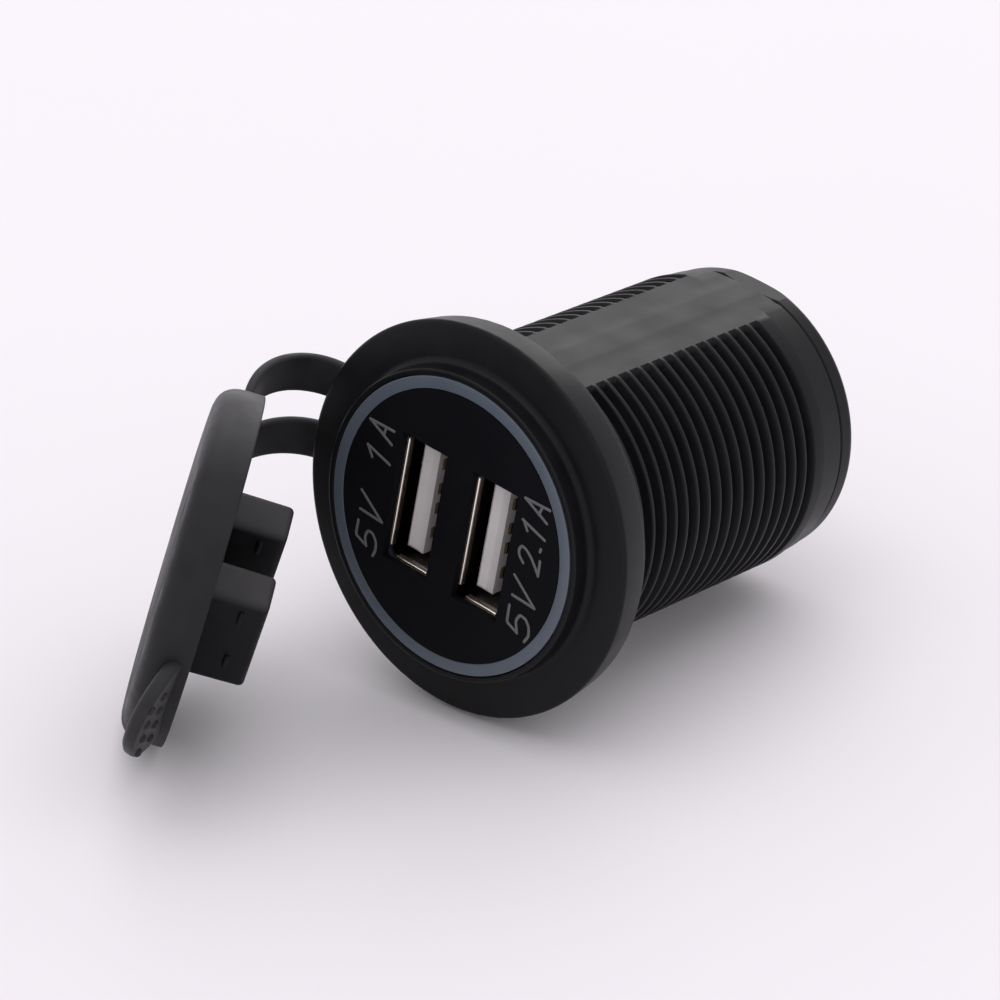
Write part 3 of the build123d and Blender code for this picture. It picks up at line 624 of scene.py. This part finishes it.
# %% Rubber
rubber_grain = {"mottle": 0.3, "bump": 0.3, "grain": 8.0, "grain_depth": 0.03}
rubber_finish = finish("dusty_rubber", (0.003, 0.003, 0.004), (0.042, 0.040, 0.044), (0.4, 0.7), mirror=0.2,
                       **rubber_grain)
rubber_shader = rubber_finish.node_tree.nodes["Principled BSDF"]
rubber_shader.inputs["Sheen Weight"].default_value = 0.03
rubber_shader.inputs["Sheen Roughness"].default_value = 0.5
dress(["rubber_grip", "rubber_strap"], rubber_finish)

# %% [markdown]
# Some finishes change from place to place. Two helpers do it: a ramp turns a measure, such as a depth, into
# a share from 0 to 1, and a tint mixes that share of another colour into the material's own.

# %% Ramp and tint
def ramp(material, measure, low, high, at_low=0.0, at_high=1.0):
    """Share = at_low below low, at_high above high, and a straight line between. The measure is a socket."""
    node = material.node_tree.nodes.new("ShaderNodeMapRange")
    for key, value in (("From Min", low), ("From Max", high), ("To Min", at_low), ("To Max", at_high)):
        node.inputs[key].default_value = value
    material.node_tree.links.new(measure, node.inputs["Value"])
    return node.outputs["Result"]


def tint(material, share, colour):
    """Base colour = its own (1 - share) + colour share."""
    nodes, links = material.node_tree.nodes, material.node_tree.links
    mix = nodes.new("ShaderNodeMix")
    mix.data_type = "RGBA"
    base = nodes["Principled BSDF"].inputs["Base Color"]
    links.new(share, mix.inputs[0])
    links.new(base.links[0].from_socket, mix.inputs[6])
    mix.inputs[7].default_value = (*colour, 1)
    links.new(mix.outputs[2], base)


print("ramp and tint ready")

# %% [markdown]
# The lid pales towards the strap's end, and each plug has nearly black broad sides under a paler narrow top:
# the plugs' darker finish is painted shade and their paler top a painted highlight where the light falls.
# Both palings come from how far a point lies along one of the lid's directions, which is a dot product of its
# place with that direction.

# %% Paler along one of the lid's directions
def paler_along(material, direction, low, high, pale_colour):
    """Tint with a pale colour by a ramp from low to high mm of direction . (point - lid_centre)."""
    nodes, links = material.node_tree.nodes, material.node_tree.links
    place, rise = nodes.new("ShaderNodeTexCoord"), nodes.new("ShaderNodeVectorMath")
    rise.operation = "DOT_PRODUCT"
    rise.inputs[1].default_value = tuple(direction)
    links.new(place.outputs["Object"], rise.inputs[0])
    middle = float(lid_centre @ direction)
    tint(material, ramp(material, rise.outputs["Value"], (middle + low) * MM, (middle + high) * MM), pale_colour)


lid_finish = finish("lid_rubber", (0.003, 0.003, 0.004), (0.026, 0.025, 0.028), (0.4, 0.7), mirror=0.2,
                    **rubber_grain)
paler_along(lid_finish, -lid_out, -3.0, lid_radius, (0.095, 0.091, 0.098))
dress(["rubber_lid"], lid_finish)
# Painted shade and highlight: the plugs' finish is darker than the lid's for their shaded broad sides, and
# their narrow tops, where the light falls, are tinted paler.
shaded_plug_finish = finish("plug_rubber_painted_shade", (0.002, 0.002, 0.003), (0.009, 0.009, 0.010), (0.4, 0.6), mirror=0.16,
                     **rubber_grain)
plug_half = plug_height / 2
paler_along(shaded_plug_finish, -lid_side, plug_half - 0.8, plug_half - 0.2, (0.045, 0.043, 0.046))
dress(["rubber_plugs"], shaded_plug_finish)

# %% [markdown]
# The ports' shells are nickel. Their lips catch the light, and the rolled beads on them most of all; on the
# shells that shine is a painted highlight, half as much painted shade as deeper in. There the plating's
# colour is darkened to nearly black as painted shade for the dark slot, and the bends of the spring fingers
# get a little painted highlight. Both come from the place alone: the depth along Y, and the distance from the
# slot's middle.

# %% Port shells
# Painted shade: deeper in, the nickel is tinted towards a near-black brown; the lips and finger bends keep
# part of their colour as painted highlight.
lip_y, lip_end_y, lip_painted_highlight = -5.3, -4.6, 0.5
finger_x, finger_end_x, finger_painted_highlight = 2.2, 2.4, 0.3
painted_slot_shade = (0.03, 0.021, 0.015)


def sums(material, operation, *values):
    """One operation on sockets or numbers."""
    node = material.node_tree.nodes.new("ShaderNodeMath")
    node.operation = operation
    for socket, value in zip(node.inputs, values):
        if isinstance(value, float):
            socket.default_value = value
        else:
            material.node_tree.links.new(value, socket)
    return node.outputs["Value"]


def port_metal(name, middle):
    """Painted shade share = min(ramp of y over the lips, ramp of |x - middle| over the fingers); lower at
    both, a painted highlight.
    """
    material = finish(name, (0.93, 0.86, 0.80), (0.97, 0.92, 0.87), (0.2, 0.32), metallic=1.0, grain=3.0)
    nodes = material.node_tree.nodes
    place, split = nodes.new("ShaderNodeTexCoord"), nodes.new("ShaderNodeSeparateXYZ")
    material.node_tree.links.new(place.outputs["Object"], split.inputs["Vector"])
    aside = sums(material, "ABSOLUTE", sums(material, "SUBTRACT", split.outputs["X"], middle * MM))
    lips = ramp(material, split.outputs["Y"], lip_y * MM, lip_end_y * MM, 1 - lip_painted_highlight)
    fingers = ramp(material, aside, finger_x * MM, finger_end_x * MM, 1 - finger_painted_highlight)
    tint(material, sums(material, "MINIMUM", lips, fingers), painted_slot_shade)
    return material


dress(["port_lip_beads"],
      finish("polished_nickel", (0.90, 0.80, 0.68), (0.97, 0.90, 0.80), (0.14, 0.24), metallic=1.0,
             grain=3.0))
dress(["usb_shell_left"], port_metal("nickel_left", -port_pitch / 2))
dress(["usb_shell_right"], port_metal("nickel_right", port_pitch / 2))

# %% [markdown]
# Other metals and what the boards carry. The contacts are dull, because a film of flux and dust lies on them.

# %% Metals and electronics
dress(["usb_contacts_left", "usb_contacts_right"],
      finish("dull_gold", (0.10, 0.075, 0.045), (0.19, 0.14, 0.08), (0.4, 0.55), metallic=1.0))
dress(["port_board", "main_board"],
      finish("green_solder_mask", (0.012, 0.07, 0.03), (0.02, 0.11, 0.05), (0.3, 0.45), mottle=0.6))
dress(["ring_lamp_top", "ring_lamp_bottom"],
      finish("white_lamp", (0.75, 0.74, 0.66), (0.82, 0.81, 0.75), (0.3, 0.4)))
dress(["choke_core"],
      finish("grey_ferrite", (0.03, 0.03, 0.033), (0.06, 0.06, 0.065), (0.6, 0.75), bump=0.3))
dress(["choke_winding"],
      finish("lacquered_copper", (0.42, 0.15, 0.05), (0.58, 0.24, 0.09), (0.25, 0.4), metallic=1.0))
dress(["input_capacitor", "output_capacitor"],
      finish("drawn_can", (0.6, 0.6, 0.62), (0.72, 0.72, 0.74), (0.25, 0.4), metallic=1.0))
dress(["rectifier_diode", "converter_chip", "charge_chip", "input_fuse"],
      finish("epoxy_package", (0.015, 0.015, 0.015), (0.03, 0.03, 0.03), (0.5, 0.65), bump=0.3))
dress(["terminal_positive", "terminal_negative"],
      finish("tinned_blade", (0.62, 0.60, 0.54), (0.74, 0.72, 0.67), (0.25, 0.42), metallic=1.0, bump=0.15,
             grain=2.0))

# %% [markdown]
# The socket lies on a pale table, tipped as in the photograph. The table's normal is the photograph's true
# up, and the plane is slid along that normal until it touches the socket's lowest point.

# %% Table
table_up = np.array([-0.145, -0.08, 0.986])
table_up /= np.linalg.norm(table_up)
lowest = math.inf
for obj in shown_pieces():
    points = np.zeros(len(obj.data.vertices) * 3)
    obj.data.vertices.foreach_get("co", points)
    lowest = min(lowest, float((points.reshape(-1, 3) @ table_up).min()))
east = np.cross(table_up, [0, 1, 0])
east /= np.linalg.norm(east)
north = np.cross(table_up, east)
table_half, table_count = 6.0, 9
steps = np.linspace(-table_half, table_half, table_count)
a, b = np.meshgrid(steps, steps, indexing="ij")
table_points = table_up * lowest + a[..., None] * east + b[..., None] * north
table_mesh = bpy.data.meshes.new("table")
table_mesh.from_pydata(table_points.reshape(-1, 3), [], grid_faces(table_count, table_count, False, False))
table = bpy.data.objects.new("table", table_mesh)
bpy.context.scene.collection.objects.link(table)
table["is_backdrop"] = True
table_mesh.materials.append(finish("pale_table", (0.80, 0.775, 0.805), (0.82, 0.795, 0.825), (0.8, 0.9),
                                   mottle=0.01, bump=0.0, mirror=0.1))
print("table touches at", round(lowest / MM, 2), "mm")

# %% [markdown]
# Light: a pale world gives most of it from all round, a wide lamp stands overhead, and a weaker one behind.
# Sources that are large beside the object give the soft shadow that the photograph has.

# %% Lights and world
def soft_light(name, place, size, power):
    """An area light that faces the socket: its back axis = place / |place|, away from the origin."""
    data = bpy.data.lights.new(name, "AREA")
    data.size = size
    data.energy = power
    light = bpy.data.objects.new(name, data)
    bpy.context.scene.collection.objects.link(light)
    place = np.array(place)
    back = place / np.linalg.norm(place)
    right = np.cross([0, 0, 1.0], back)
    right /= np.linalg.norm(right)
    matrix = np.eye(4)
    matrix[:3, :3] = np.stack([right, np.cross(back, right), back], axis=1)
    matrix[:3, 3] = place
    light.matrix_world = Matrix(matrix.tolist())
    print(name, "lamp at", place, "m with", power, "W")


soft_light("key", (-0.20, 0.00, 1.50), 2.0, 9.0)
soft_light("back", (-0.80, 1.15, 0.80), 1.2, 6.0)
world = bpy.data.worlds.new("studio")
world.use_nodes = True
sky = world.node_tree.nodes["Background"]
sky.inputs["Color"].default_value = (0.95, 0.93, 0.96, 1)
sky.inputs["Strength"].default_value = 0.86
bpy.context.scene.world = world
bpy.context.scene.view_settings.view_transform = "Standard"

# %% Sizes
low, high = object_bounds()
print("visual box in mm:", [round(v / MM, 1) for v in low], [round(v / MM, 1) for v in high])
